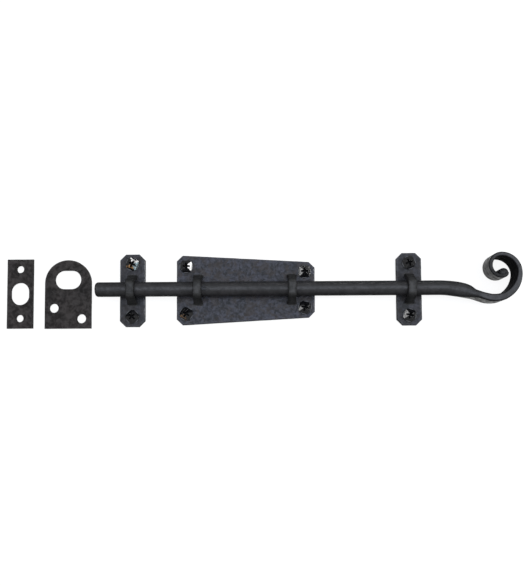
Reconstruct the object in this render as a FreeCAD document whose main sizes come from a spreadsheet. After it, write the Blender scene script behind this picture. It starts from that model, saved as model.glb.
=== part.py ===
import FreeCAD, Part
import Sketcher
import math
import os

# Surface slide bolt with a scroll handle, in millimetres.
#
# Frame: the back faces of the plates lie in z = 0, on the door, and +Z points away from it.
# The bolt's axis runs along X over y = 0. The tip points to -X and the scroll handle lies at +X,
# curling towards +Y. The origin is the middle of the main plate's back face.
# The bolt is drawn thrown: its stop pin rests against the front strap of the main plate.

Vector = FreeCAD.Vector
Rotation = FreeCAD.Rotation
Placement = FreeCAD.Placement

Z_AXIS = Vector(0, 0, 1)

DIMENSIONS = {
    # rod and its height over the door
    "rod_radius": 5.25,
    "axis_height": 8.6,
    "tip_x": -107.2,
    "tip_rounding": 2.2,
    # screwed plates
    "plate_thick": 3.0,
    "plate_bevel": 0.7,
    "corner_cut": 4.3,
    # main plate, taller at its front end
    "main_half_length": 49.9,
    "main_front_half_height": 25.4,
    "main_rear_half_height": 20.3,
    "main_front_screw_x": -42.9,
    "main_front_screw_y": 17.2,
    "main_rear_screw_x": 42.5,
    "main_rear_screw_y": 13.1,
    # guides in front of and behind the main plate
    "guide_half_length": 9.2,
    "guide_half_height": 26.4,
    "guide_screw_y": 19.05,
    "front_guide_x": -81.7,
    "rear_guide_x": 117.9,
    # straps, bent from bar over the rod
    "strap_width": 6.1,
    "strap_thick": 2.7,
    "strap_top_height": 16.7,
    "strap_top_half_width": 5.3,
    "strap_foot_half_width": 11.7,
    "strap_bend_radius": 3.7,
    # a strap's legs widen along x towards their feet
    "strap_foot_width": 7.6,
    "strap_flare_height": 8.5,
    "main_front_strap_x": -34.25,
    "main_rear_strap_x": 33.2,
    # tenons under the strap's legs, riveted in slots of the plate
    "tenon_inner": 9.0,
    "tenon_outer": 11.3,
    "tenon_half_width": 2.1,
    "tenon_end_height": 0.1,
    # wood screws, number 8
    "screw_hole_radius": 2.5,
    "screw_head_radius": 4.85,
    "screw_rim_height": 0.9,
    "screw_head_height": 3.6,
    "screw_facet_half_side": 4.3,
    "screw_recess_flat": 0.3,
    "screw_neck_radius": 2.3,
    "screw_shank_radius": 2.05,
    "screw_length": 25.4,
    "screw_point_length": 6.0,
    # cross recess: half sizes of each arm at its mouth, above the head, and at its floor
    "recess_mouth_length": 3.5,
    "recess_mouth_width": 0.95,
    "recess_floor_length": 2.2,
    "recess_floor_width": 0.3,
    "recess_floor_height": 3.6,
    "recess_mouth_height": 7.0,
    # stop pin, a rolled tube through the rod
    "pin_x": -29.55,
    "pin_radius": 1.6,
    "pin_bore_radius": 0.7,
    "pin_slit_half_width": 0.25,
    "pin_top_height": 14.9,
    "pin_bottom_height": 4.2,
    # friction spring in a pocket of the main plate, under the rod
    "pocket_front_x": -29.0,
    "pocket_rear_x": 23.5,
    "pocket_half_width": 4.0,
    "pocket_floor": 1.0,
    "spring_half_width": 3.0,
    "spring_thick": 0.5,
    "spring_tab_length": 7.0,
    "spring_top_height": 3.2,
    "spring_half_span": 21.0,
    "rivet_radius": 1.25,
    "rivet_head_radius": 2.4,
    "rivet_head_thick": 0.7,
    # flat strikes
    "strike_thick": 2.0,
    "mortise_x": -163.2,
    "mortise_y": -1.8,
    "mortise_half_length": 9.5,
    "mortise_half_height": 25.2,
    "mortise_slot_radius": 6.5,
    "mortise_slot_half_run": 1.6,
    "mortise_screw_radius": 2.65,
    "mortise_screw_y": 17.85,
    "universal_x": -128.5,
    "universal_y": -2.25,
    "universal_half_length": 16.9,
    "universal_height": 49.9,
    "universal_slot_radius": 6.8,
    "universal_slot_half_run": 2.6,
    "universal_slot_drop": 14.45,
    "universal_screw_radius": 3.3,
    "universal_left_screw_x": -10.1,
    "universal_left_screw_drop": 35.05,
    "universal_right_screw_x": 9.8,
    "universal_right_screw_drop": 42.75,
    # scroll handle: radii of its centre line, from the rod to the rolled eye
    "neck_bend_radius": 70.0,
    "scroll_outer_radius": 18.5,
    "scroll_upper_radius": 12.8,
    "scroll_left_radius": 7.8,
    "scroll_centre_x": 175.3,
    "scroll_centre_y": 10.0,
    "eye_x": 182.5,
    "eye_y": 9.5,
    "eye_radius": 3.4,
    "eye_centre_line_radius": 2.1,
    "band_height": 16.5,
    "band_edge_radius": 1.1,
}

doc = FreeCAD.newDocument("slide_bolt")
sheet = doc.addObject("Spreadsheet::Sheet", "Sheet")
for row, (alias, number) in enumerate(DIMENSIONS.items(), start=1):
    sheet.set("A%d" % row, alias)
    sheet.set("B%d" % row, str(number))
    sheet.setAlias("B%d" % row, alias)
doc.recompute()


def cell(alias):
    """Value of a cell of the sheet."""
    return float(sheet.get(alias))


def value(expression):
    """Value of an expression over the sheet's cells."""
    return float(sheet.evalExpression(str(expression)))


def bind(item, **expressions):
    """Tie properties of an object to the sheet. A double underscore stands for a dot."""
    for name, expression in expressions.items():
        item.setExpression(name.replace("__", "."), expression)


# ---------------------------------------------------------------- sketches

def plane(body, role):
    """One of the body's own origin planes."""
    return [item for item in body.Origin.OriginFeatures if item.Role == role][0]


def new_body(label):
    body = doc.addObject("PartDesign::Body", label)
    body.Label = label
    return body


def new_sketch(body, role, name, offset=None):
    sketch = body.newObject("Sketcher::SketchObject", name)
    sketch.AttachmentSupport = [(plane(body, role), "")]
    sketch.MapMode = "FlatFace"
    if offset is not None:
        sketch.AttachmentOffset = offset
    return sketch


def pin_point(sketch, edge, end, across, up):
    """Place a point of an edge by two expressions, measured from the sketch's origin."""
    for kind, expression in (("DistanceX", across), ("DistanceY", up)):
        index = sketch.addConstraint(Sketcher.Constraint(kind, -1, 1, edge, end, value(expression)))
        sketch.setExpression("Constraints[%d]" % index, expression)


def add_outline(sketch, corners):
    """Closed outline of straight sides; each corner is a pair of expressions."""
    points = [Vector(value(across), value(up), 0) for across, up in corners]
    edges = []
    for start, end in zip(points, points[1:] + points[:1]):
        edges.append(sketch.addGeometry(Part.LineSegment(start, end), False))
    for edge, following in zip(edges, edges[1:] + edges[:1]):
        sketch.addConstraint(Sketcher.Constraint("Coincident", edge, 2, following, 1))
    for edge, (across, up) in zip(edges, corners):
        pin_point(sketch, edge, 1, across, up)


def add_circle(sketch, across, up, radius):
    centre = Vector(value(across), value(up), 0)
    edge = sketch.addGeometry(Part.Circle(centre, Z_AXIS, value(radius)), False)
    pin_point(sketch, edge, 3, across, up)
    index = sketch.addConstraint(Sketcher.Constraint("Radius", edge, value(radius)))
    sketch.setExpression("Constraints[%d]" % index, radius)


def add_arc(sketch, centre, radius, start_degrees, end_degrees):
    circle = Part.Circle(centre, Z_AXIS, radius)
    arc = Part.ArcOfCircle(circle, math.radians(start_degrees), math.radians(end_degrees))
    return sketch.addGeometry(arc, False)


def add_oblong(sketch, half_run, up, radius, upright):
    """Slot with round ends, centred on x = 0 and on the height up."""
    run = value(half_run)
    size = value(radius)
    level = value(up)
    if upright:
        first = Vector(0, level + run, 0)
        second = Vector(0, level - run, 0)
        turn = 0
    else:
        first = Vector(-run, level, 0)
        second = Vector(run, level, 0)
        turn = 90
    arc_one = add_arc(sketch, first, size, turn, turn + 180)
    arc_two = add_arc(sketch, second, size, turn + 180, turn + 360)
    ends = [sketch.getPoint(arc, end) for arc in (arc_one, arc_two) for end in (1, 2)]
    side_one = sketch.addGeometry(Part.LineSegment(ends[1], ends[2]), False)
    side_two = sketch.addGeometry(Part.LineSegment(ends[3], ends[0]), False)
    chain = [arc_one, side_one, arc_two, side_two]
    for edge, following in zip(chain, chain[1:] + chain[:1]):
        sketch.addConstraint(Sketcher.Constraint("Tangent", edge, 2, following, 1))
    index = sketch.addConstraint(Sketcher.Constraint("Radius", arc_one, size))
    sketch.setExpression("Constraints[%d]" % index, radius)
    if upright:
        pin_point(sketch, arc_one, 3, "0", "%s + %s" % (up, half_run))
        pin_point(sketch, arc_two, 3, "0", "%s - %s" % (up, half_run))
    else:
        pin_point(sketch, arc_one, 3, "-1 * %s" % half_run, up)
        pin_point(sketch, arc_two, 3, half_run, up)


def add_round_cornered(sketch, width, height, radius):
    """Rectangle with rounded corners about the sketch's origin."""
    inner_x = width / 2 - radius
    inner_y = height / 2 - radius
    corners = [(inner_x, inner_y, 0), (-inner_x, inner_y, 90),
               (-inner_x, -inner_y, 180), (inner_x, -inner_y, 270)]
    arcs = [add_arc(sketch, Vector(x, y, 0), radius, turn, turn + 90) for x, y, turn in corners]
    chain = []
    for arc, following in zip(arcs, arcs[1:] + arcs[:1]):
        side = Part.LineSegment(sketch.getPoint(arc, 2), sketch.getPoint(following, 1))
        chain.extend([arc, sketch.addGeometry(side, False)])
    for edge, following in zip(chain, chain[1:] + chain[:1]):
        sketch.addConstraint(Sketcher.Constraint("Coincident", edge, 2, following, 1))


# ---------------------------------------------------------------- features

def add_pad(body, sketch, name, length, both_ways=False):
    pad = body.newObject("PartDesign::Pad", name)
    pad.Profile = sketch
    pad.setExpression("Length", length)
    pad.Midplane = both_ways
    doc.recompute()
    return pad


def add_pocket(body, sketch, name, depth=None):
    """Cut the sketch's shape: through everything above it, or down from it by a depth."""
    volume_before = body.Shape.Volume
    pocket = body.newObject("PartDesign::Pocket", name)
    pocket.Profile = sketch
    if depth is None:
        pocket.Type = "ThroughAll"
        pocket.Reversed = True
    else:
        pocket.setExpression("Length", depth)
    doc.recompute()
    if not body.Shape.Volume < volume_before - 1e-3:
        raise RuntimeError("%s cuts nothing" % name)
    return pocket


def add_edge_feature(body, kind, base, name, wanted, size):
    """Chamfer or fillet on the edges of base that the test wanted accepts."""
    edges = ["Edge%d" % number for number, edge in enumerate(base.Shape.Edges, start=1)
             if wanted(edge)]
    feature = body.newObject("PartDesign::" + kind, name)
    feature.Base = (base, edges)
    feature.setExpression("Size" if kind == "Chamfer" else "Radius", size)
    doc.recompute()
    return feature


def lies_at_height(height):
    """Test for edges that lie wholly in one level plane."""
    def test(edge):
        box = edge.BoundBox
        return abs(box.ZMin - height) < 1e-4 and abs(box.ZMax - height) < 1e-4
    return test


# ---------------------------------------------------------------- plates and strikes

def slots_for_tenons(body, name, strap_positions):
    """Two slots in a plate for each strap, one for each leg's tenon."""
    sketch = new_sketch(body, "XY_Plane", name)
    for strap_x in strap_positions:
        for side in ("-1", "1"):
            near_x = "%s - Sheet.tenon_half_width" % strap_x
            far_x = "%s + Sheet.tenon_half_width" % strap_x
            inner = "%s * Sheet.tenon_inner" % side
            outer = "%s * Sheet.tenon_outer" % side
            add_outline(sketch, [(near_x, inner), (far_x, inner), (far_x, outer), (near_x, outer)])
    add_pocket(body, sketch, name + "_cut")


def screw_holes(body, name, centres, radius):
    sketch = new_sketch(body, "XY_Plane", name)
    for across, up in centres:
        add_circle(sketch, across, up, radius)
    add_pocket(body, sketch, name + "_cut")


def cut_cornered(half_length, front_half_height, rear_half_height):
    """Corners of a four-sided plate about its centre, each corner cut off."""
    cut = "Sheet.corner_cut"
    front = "-1 * %s" % half_length
    rear = half_length
    return [
        ("%s + %s" % (front, cut), "-1 * %s" % front_half_height),
        ("%s - %s" % (rear, cut), "-1 * %s" % rear_half_height),
        (rear, "%s - %s" % (cut, rear_half_height)),
        (rear, "%s - %s" % (rear_half_height, cut)),
        ("%s - %s" % (rear, cut), rear_half_height),
        ("%s + %s" % (front, cut), front_half_height),
        (front, "%s - %s" % (front_half_height, cut)),
        (front, "%s - %s" % (cut, front_half_height)),
    ]


def bevelled_plate(label, corners):
    body = new_body(label)
    sketch = new_sketch(body, "XY_Plane", label + "_outline")
    add_outline(sketch, corners)
    pad = add_pad(body, sketch, label + "_pad", "Sheet.plate_thick")
    add_edge_feature(body, "Chamfer", pad, label + "_bevel",
                     lies_at_height(cell("plate_thick")), "Sheet.plate_bevel")
    return body


def guide_plate(label, place_x):
    half_height = "Sheet.guide_half_height"
    body = bevelled_plate(label, cut_cornered("Sheet.guide_half_length", half_height, half_height))
    centres = [("0", "Sheet.guide_screw_y"), ("0", "-1 * Sheet.guide_screw_y")]
    screw_holes(body, label + "_holes", centres, "Sheet.screw_hole_radius")
    slots_for_tenons(body, label + "_slots", ["0"])
    bind(body, Placement__Base__x=place_x)
    return body


def main_plate():
    corners = cut_cornered("Sheet.main_half_length", "Sheet.main_front_half_height",
                           "Sheet.main_rear_half_height")
    body = bevelled_plate("main_plate", corners)
    centres = []
    for end in ("front", "rear"):
        for side in ("1", "-1"):
            across = "Sheet.main_%s_screw_x" % end
            centres.append((across, "%s * Sheet.main_%s_screw_y" % (side, end)))
    screw_holes(body, "main_plate_holes", centres, "Sheet.screw_hole_radius")
    slots_for_tenons(body, "main_plate_slots",
                     ["Sheet.main_front_strap_x", "Sheet.main_rear_strap_x"])
    # the rivet's hole goes through the pocket's floor
    screw_holes(body, "rivet_hole", [(RIVET_X, "0")], "Sheet.rivet_radius")
    top = Placement(Vector(0, 0, cell("plate_thick")), Rotation())
    sketch = new_sketch(body, "XY_Plane", "spring_pocket", top)
    bind(sketch, AttachmentOffset__Base__z="Sheet.plate_thick")
    front, rear = "Sheet.pocket_front_x", "Sheet.pocket_rear_x"
    low, high = "-1 * Sheet.pocket_half_width", "Sheet.pocket_half_width"
    add_outline(sketch, [(front, low), (rear, low), (rear, high), (front, high)])
    add_pocket(body, sketch, "spring_pocket_cut", "Sheet.plate_thick - Sheet.pocket_floor")
    return body


def mortise_strike():
    body = new_body("mortise_strike")
    sketch = new_sketch(body, "XY_Plane", "mortise_outline")
    wide, tall = "Sheet.mortise_half_length", "Sheet.mortise_half_height"
    left, low = "-1 * " + wide, "-1 * " + tall
    add_outline(sketch, [(left, low), (wide, low), (wide, tall), (left, tall)])
    add_pad(body, sketch, "mortise_pad", "Sheet.strike_thick")
    opening = new_sketch(body, "XY_Plane", "mortise_opening")
    add_oblong(opening, "Sheet.mortise_slot_half_run", "0", "Sheet.mortise_slot_radius", True)
    add_pocket(body, opening, "mortise_opening_cut")
    centres = [("0", "Sheet.mortise_screw_y"), ("0", "-1 * Sheet.mortise_screw_y")]
    screw_holes(body, "mortise_holes", centres, "Sheet.mortise_screw_radius")
    bind(body, Placement__Base__x="Sheet.mortise_x", Placement__Base__y="Sheet.mortise_y")
    return body


def universal_strike():
    """Strike with a half-round top; its own origin is the centre of that half circle."""
    body = new_body("universal_strike")
    sketch = new_sketch(body, "XY_Plane", "universal_outline")
    radius = cell("universal_half_length")
    foot = cell("universal_height") - radius
    arch = add_arc(sketch, Vector(0, 0, 0), radius, 0, 180)
    points = [Vector(-radius, 0, 0), Vector(-radius, -foot, 0),
              Vector(radius, -foot, 0), Vector(radius, 0, 0)]
    sides = [sketch.addGeometry(Part.LineSegment(start, end), False)
             for start, end in zip(points, points[1:])]
    chain = [arch] + sides
    for edge, following in zip(chain, chain[1:] + chain[:1]):
        sketch.addConstraint(Sketcher.Constraint("Coincident", edge, 2, following, 1))
    pin_point(sketch, arch, 3, "0", "0")
    pin_point(sketch, arch, 1, "Sheet.universal_half_length", "0")
    sketch.addConstraint(Sketcher.Constraint("PointOnObject", arch, 2, -1))
    drop = "Sheet.universal_half_length - Sheet.universal_height"
    pin_point(sketch, sides[0], 2, "-1 * Sheet.universal_half_length", drop)
    pin_point(sketch, sides[1], 2, "Sheet.universal_half_length", drop)
    add_pad(body, sketch, "universal_pad", "Sheet.strike_thick")
    opening = new_sketch(body, "XY_Plane", "universal_opening")
    level = "(Sheet.universal_half_length - Sheet.universal_slot_drop)"
    add_oblong(opening, "Sheet.universal_slot_half_run", level,
               "Sheet.universal_slot_radius", False)
    add_pocket(body, opening, "universal_opening_cut")
    centres = [("Sheet.universal_%s_screw_x" % side,
                "Sheet.universal_half_length - Sheet.universal_%s_screw_drop" % side)
               for side in ("left", "right")]
    screw_holes(body, "universal_holes", centres, "Sheet.universal_screw_radius")
    bind(body, Placement__Base__x="Sheet.universal_x",
         Placement__Base__y="Sheet.universal_y + Sheet.universal_height / 2"
                            " - Sheet.universal_half_length")
    return body


# ---------------------------------------------------------------- straps

def narrow_above_the_feet(body, label):
    """Trim both sides of a strap to its own width, leaving the flare of its feet."""
    sketch = new_sketch(body, "XZ_Plane", label + "_trim")
    for side in ("-1", "1"):
        waist = "%s * Sheet.strap_width / 2" % side
        foot = "%s * Sheet.strap_foot_width / 2" % side
        clear = "%s * Sheet.strap_foot_width" % side
        over = "Sheet.strap_top_height + 1"
        add_outline(sketch, [(foot, "Sheet.plate_thick"), (waist, "Sheet.strap_flare_height"),
                             (waist, over), (clear, over), (clear, "Sheet.plate_thick")])
    volume_before = body.Shape.Volume
    trim = body.newObject("PartDesign::Pocket", label + "_trim_cut")
    trim.Profile = sketch
    trim.Midplane = True
    trim.setExpression("Length", "4 * Sheet.strap_foot_half_width")
    doc.recompute()
    if not body.Shape.Volume < volume_before - 1e-3:
        raise RuntimeError("%s isn't trimmed" % label)


def strap(label, place_x):
    """Bar bent over the rod: a flat top, two splayed legs and a tenon under each leg."""
    body = new_body(label)
    top = "Sheet.strap_top_height"
    foot = "Sheet.plate_thick"
    half_top = "Sheet.strap_top_half_width"
    half_foot = "Sheet.strap_foot_half_width"
    # a leg's slope gives the width of the bar's section along y and the inner corner
    run = cell("strap_foot_half_width") - cell("strap_top_half_width")
    rise = cell("strap_top_height") - cell("plate_thick")
    slant = math.hypot(run, rise)
    level_thickness = "%.6f * Sheet.strap_thick" % (slant / rise)
    corner_shift = "%.6f * Sheet.strap_thick" % ((slant - run) / rise)
    inner_top = "%s - Sheet.strap_thick" % top
    outer = [(half_foot, foot), (half_top, top)]
    inner = [("%s - %s" % (half_top, corner_shift), inner_top),
             ("%s - %s" % (half_foot, level_thickness), foot)]

    def mirrored(corners):
        return [("-1 * (%s)" % across, up) for across, up in corners]

    sketch = new_sketch(body, "YZ_Plane", label + "_profile")
    add_outline(sketch, outer + mirrored(outer)[::-1] + mirrored(inner)[::-1] + inner)
    pad = add_pad(body, sketch, label + "_pad", "Sheet.strap_foot_width", both_ways=True)

    def is_outer_bend(edge):
        return lies_at_height(cell("strap_top_height"))(edge) and edge.BoundBox.YLength < 1e-4

    def is_inner_bend(edge):
        height = cell("strap_top_height") - cell("strap_thick")
        return lies_at_height(height)(edge) and edge.BoundBox.YLength < 1e-4

    rounded = add_edge_feature(body, "Fillet", pad, label + "_outer_bend", is_outer_bend,
                               "Sheet.strap_bend_radius")
    add_edge_feature(body, "Fillet", rounded, label + "_inner_bend", is_inner_bend,
                     "Sheet.strap_bend_radius - Sheet.strap_thick")
    narrow_above_the_feet(body, label)
    offset = Placement(Vector(0, 0, cell("tenon_end_height")), Rotation())
    tenons = new_sketch(body, "XY_Plane", label + "_tenons", offset)
    bind(tenons, AttachmentOffset__Base__z="Sheet.tenon_end_height")
    half = "Sheet.tenon_half_width"
    for side in ("-1", "1"):
        near = "%s * Sheet.tenon_inner" % side
        far = "%s * Sheet.tenon_outer" % side
        add_outline(tenons, [("-1 * " + half, near), (half, near),
                             (half, far), ("-1 * " + half, far)])
    add_pad(body, tenons, label + "_tenon_pad", "Sheet.plate_thick - Sheet.tenon_end_height")
    bind(body, Placement__Base__x=place_x)
    return body


# ---------------------------------------------------------------- scroll handle

class Arc:
    """One arc of the handle's centre line. A positive turn curls to the left."""

    def __init__(self, start, heading, radius, turn):
        self.start = start
        self.heading = heading
        self.radius = radius
        self.turn = turn
        self.length = radius * abs(turn)
        side = math.copysign(radius, turn)
        self.centre = start + Vector(-math.sin(heading), math.cos(heading), 0) * side

    def at(self, distance):
        """Point and heading at a distance along the arc."""
        angle = math.copysign(distance / self.radius, self.turn)
        arm = Rotation(Z_AXIS, math.degrees(angle)).multVec(self.start - self.centre)
        return self.centre + arm, self.heading + angle


def scroll_centre_line():
    """Tangent arcs: a shallow bend off the rod's axis, then the curl up to the eye."""
    bend, outer = cell("neck_bend_radius"), cell("scroll_outer_radius")
    upper, left = cell("scroll_upper_radius"), cell("scroll_left_radius")
    centre_x, centre_y = cell("scroll_centre_x"), cell("scroll_centre_y")
    dip = math.acos((bend + centre_y) / (bend + outer))
    point = Vector(centre_x - (bend + outer) * math.sin(dip), 0, 0)
    heading = 0.0
    quarter = math.pi / 2
    arcs = []
    for radius, turn in ((bend, -dip), (outer, dip + quarter), (upper, quarter), (left, quarter)):
        arcs.append(Arc(point, heading, radius, turn))
        point, heading = arcs[-1].at(arcs[-1].length)
    # the last arc runs into the eye's own circle without a kink
    roll = cell("eye_centre_line_radius")
    reach, drop = cell("eye_x") - point.x, cell("eye_y") - point.y
    last = (reach ** 2 + drop ** 2 - roll ** 2) / (2 * (reach - roll))
    arcs.append(Arc(point, heading, last, math.pi + math.atan2(drop, reach - last)))
    return arcs


# Forging along the centre line. Each row gives the share of the line's length, the section's
# thickness across the line, its height along z, its corner radius, and how far its middle lies
# to the left of the line. The rod's inner side steps in at the neck, its outer side runs on.
FORGING = (
    (0.00, 10.5, 10.5, 5.1, 0.0),
    (0.05, 10.5, 10.5, 5.1, 0.0),
    (0.11, 10.7, 10.5, 5.0, 0.1),
    (0.16, 10.2, 10.9, 4.7, 0.3),
    (0.19, 8.8, 12.6, 3.8, 0.2),
    (0.22, 5.9, 14.9, 2.5, -0.3),
    (0.255, 5.0, 16.4, 1.6, 0.0),
    (0.29, 5.1, 16.5, 1.3, 0.4),
    (0.35, 5.3, 16.5, 1.2, 0.25),
    (0.40, 5.3, 16.5, 1.2, 0.0),
    (0.50, 4.7, 16.5, 1.1, 0.0),
    (0.60, 3.6, 16.5, 1.1, 0.0),
    (0.80, 3.0, 16.5, 1.0, 0.0),
    (1.00, 2.6, 16.5, 0.9, 0.0),
)


def forged_section(share):
    """Thickness, height, corner radius and offset at a share of the centre line's length."""
    for low, high in zip(FORGING, FORGING[1:]):
        if share <= high[0]:
            blend = (share - low[0]) / (high[0] - low[0])
            return [a + (b - a) * blend for a, b in zip(low[1:], high[1:])]
    return list(FORGING[-1][1:])


# greatest turn in degrees and greatest distance between neighbouring sections
SECTION_TURN = 12.0
SECTION_SPACING = 4.0


def sliding_bolt():
    body = new_body("sliding_bolt")
    arcs = scroll_centre_line()
    total = sum(arc.length for arc in arcs)
    axis = cell("axis_height")

    # rod, from its tip to the start of the handle's bend
    at_tip = Placement(Vector(0, 0, cell("tip_x")), Rotation())
    tip = new_sketch(body, "YZ_Plane", "rod_section", at_tip)
    bind(tip, AttachmentOffset__Base__z="Sheet.tip_x")
    add_circle(tip, "0", "Sheet.axis_height", "Sheet.rod_radius")
    rod = add_pad(body, tip, "rod", "%.4f - Sheet.tip_x" % arcs[0].start.x)

    def is_tip_rim(edge):
        return edge.BoundBox.XMax < cell("tip_x") + 1e-3

    add_edge_feature(body, "Fillet", rod, "tip_round", is_tip_rim, "Sheet.tip_rounding")

    # forged handle: sections square to the centre line, from the rod to the eye
    sections = []
    travelled = 0.0
    for arc in arcs:
        steps = max(math.ceil(abs(arc.turn) / math.radians(SECTION_TURN)),
                    math.ceil(arc.length / SECTION_SPACING))
        first = 0 if arc is arcs[0] else 1
        for step in range(first, steps + 1):
            distance = arc.length * step / steps
            point, heading = arc.at(distance)
            thick, tall, corner, offset = forged_section((travelled + distance) / total)
            point = point + Vector(-math.sin(heading), math.cos(heading), 0) * offset
            where = Placement(Vector(point.y, axis, point.x),
                              Rotation(Vector(0, 1, 0), math.degrees(heading)))
            sketch = new_sketch(body, "YZ_Plane", "section_%02d" % len(sections), where)
            add_round_cornered(sketch, thick, tall, corner)
            sections.append(sketch)
        travelled += arc.length
    doc.recompute()
    loft = body.newObject("PartDesign::AdditiveLoft", "forged_handle")
    loft.Profile = sections[0]
    loft.Sections = sections[1:]
    doc.recompute()

    # the band's end is rolled up tight into the eye
    eye = new_sketch(body, "XY_Plane", "eye_circle", Placement(Vector(0, 0, axis), Rotation()))
    bind(eye, AttachmentOffset__Base__z="Sheet.axis_height")
    add_circle(eye, "Sheet.eye_x", "Sheet.eye_y", "Sheet.eye_radius")
    add_pad(body, eye, "eye", "Sheet.band_height", both_ways=True)

    # hole for the stop pin, square through the rod
    pin_hole = new_sketch(body, "XY_Plane", "pin_hole")
    add_circle(pin_hole, "Sheet.pin_x", "0", "Sheet.pin_radius")
    add_pocket(body, pin_hole, "pin_hole_cut")
    return body


# ---------------------------------------------------------------- pin, spring and rivet

def stop_pin():
    """Roll pin: a tube with a slit along it."""
    body = new_body("stop_pin")
    ring = new_sketch(body, "XY_Plane", "pin_ring",
                      Placement(Vector(0, 0, cell("pin_bottom_height")), Rotation()))
    bind(ring, AttachmentOffset__Base__z="Sheet.pin_bottom_height")
    add_circle(ring, "0", "0", "Sheet.pin_radius")
    add_circle(ring, "0", "0", "Sheet.pin_bore_radius")
    add_pad(body, ring, "pin_tube", "Sheet.pin_top_height - Sheet.pin_bottom_height")
    slit = new_sketch(body, "XY_Plane", "pin_slit")
    low, high = "-1 * Sheet.pin_slit_half_width", "Sheet.pin_slit_half_width"
    far = "2 * Sheet.pin_radius"
    add_outline(slit, [("0", low), (far, low), (far, high), ("0", high)])
    add_pocket(body, slit, "pin_slit_cut")
    bind(body, Placement__Base__x="Sheet.pin_x")
    return body


# the spring lies half a millimetre behind the pocket's front end, its rivet mid-way on the tab
RIVET_X = "Sheet.pocket_front_x + Sheet.spring_tab_length / 2 + 0.5"
SPRING_CROWN_X = cell("pocket_front_x") + 0.5 + cell("spring_tab_length") + cell("spring_half_span")


def friction_spring():
    """Bowed strip: a flat tab under the rivet, then two shallow curves up and two down."""
    body = new_body("friction_spring")
    thick = cell("spring_thick")
    low = cell("pocket_floor") + thick / 2
    half_span = cell("spring_half_span")
    rise = cell("spring_top_height") - thick / 2 - low
    radius = (half_span ** 2 + rise ** 2) / (4 * rise)
    swing = 2 * math.degrees(math.atan2(rise, half_span))
    crown = Vector(SPRING_CROWN_X, low + rise - radius, 0)
    feet = [Vector(SPRING_CROWN_X + side * half_span, low + radius, 0) for side in (-1, 1)]
    sketch = new_sketch(body, "XZ_Plane", "spring_profile")
    spans = ((feet[0], 1, 270, 270 + swing), (crown, -1, 90 + swing, 90 - swing),
             (feet[1], 1, 270 - swing, 270))
    lines = []
    for offset in (-thick / 2, thick / 2):
        line = []
        for centre, side, begin, end in spans:
            size = radius - side * offset
            low_turn, high_turn = min(begin, end), max(begin, end)
            arc = add_arc(sketch, centre, size, low_turn, high_turn)
            line.append((arc, 1, 2) if end > begin else (arc, 2, 1))
        lines.append(line)
    tab = cell("spring_tab_length")
    under, over = lines
    tab_points = []
    for line, offset in ((under, -thick / 2), (over, thick / 2)):
        arc, begin, _ = line[0]
        inner = sketch.getPoint(arc, begin)
        outer = inner - Vector(tab, 0, 0)
        edge = sketch.addGeometry(Part.LineSegment(outer, inner), False)
        line.insert(0, (edge, 1, 2))
        tab_points.append(outer)
    front_end = sketch.addGeometry(Part.LineSegment(*tab_points), False)
    rear = [sketch.getPoint(line[-1][0], line[-1][2]) for line in lines]
    rear_end = sketch.addGeometry(Part.LineSegment(*rear), False)
    for line in lines:
        for (edge, _, end), (following, begin, _) in zip(line, line[1:]):
            sketch.addConstraint(Sketcher.Constraint("Coincident", edge, end, following, begin))
    for number, line in enumerate(lines, start=1):
        edge, begin, _ = line[0]
        sketch.addConstraint(Sketcher.Constraint("Coincident", edge, begin, front_end, number))
        edge, _, end = line[-1]
        sketch.addConstraint(Sketcher.Constraint("Coincident", edge, end, rear_end, number))
    add_pad(body, sketch, "spring_strip", "2 * Sheet.spring_half_width", both_ways=True)
    hole = new_sketch(body, "XY_Plane", "spring_hole")
    add_circle(hole, RIVET_X, "0", "Sheet.rivet_radius")
    add_pocket(body, hole, "spring_hole_cut")
    return body


def spring_rivet():
    shank = doc.addObject("Part::Cylinder", "rivet_shank")
    bind(shank, Radius="Sheet.rivet_radius",
         Height="Sheet.pocket_floor + Sheet.spring_thick")
    head = doc.addObject("Part::Cylinder", "rivet_head")
    bind(head, Radius="Sheet.rivet_head_radius", Height="Sheet.rivet_head_thick",
         Placement__Base__z="Sheet.pocket_floor + Sheet.spring_thick")
    rivet = doc.addObject("Part::MultiFuse", "spring_rivet")
    rivet.Label = "spring_rivet"
    rivet.Shapes = [shank, head]
    bind(rivet, Placement__Base__x=RIVET_X)
    return rivet


# ---------------------------------------------------------------- screws

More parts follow.
